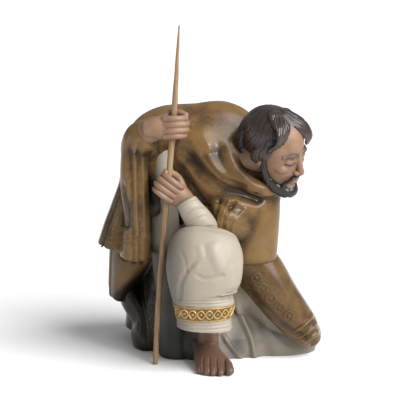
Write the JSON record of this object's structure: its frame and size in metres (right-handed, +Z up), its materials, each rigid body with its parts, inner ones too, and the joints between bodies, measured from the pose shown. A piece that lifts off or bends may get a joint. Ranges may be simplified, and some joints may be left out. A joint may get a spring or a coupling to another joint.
{
  "type": "kneeling figurine with staff",
  "caption": "Glazed stoneware figurine of a bearded figure kneeling in a wide mantle, leaning on a loose wooden staff held in both fists.",
  "frame": {"origin": "centre of the bounding box's underside, on the surface that the figure stands on", "axes": "+Z up, -Y towards the front view, +X to the right of the front view"},
  "size_m": [0.2238, 0.2134, 0.3375],
  "materials": {
    "brown_glaze": "glossy mottled brown glaze on stoneware",
    "cream_stoneware": "matt speckled cream stoneware",
    "tan_stoneware": "matt tan stoneware, for the skin",
    "dark_glaze": "glossy dark brown glaze, for hair and beard",
    "gold_band": "golden brown relief band",
    "bare_wood": "plain turned wood, waxed"
  },
  "bodies": {
    "root": {"figure": "brown_glaze", "staff": "bare_wood"}
  },
  "joints": []
}
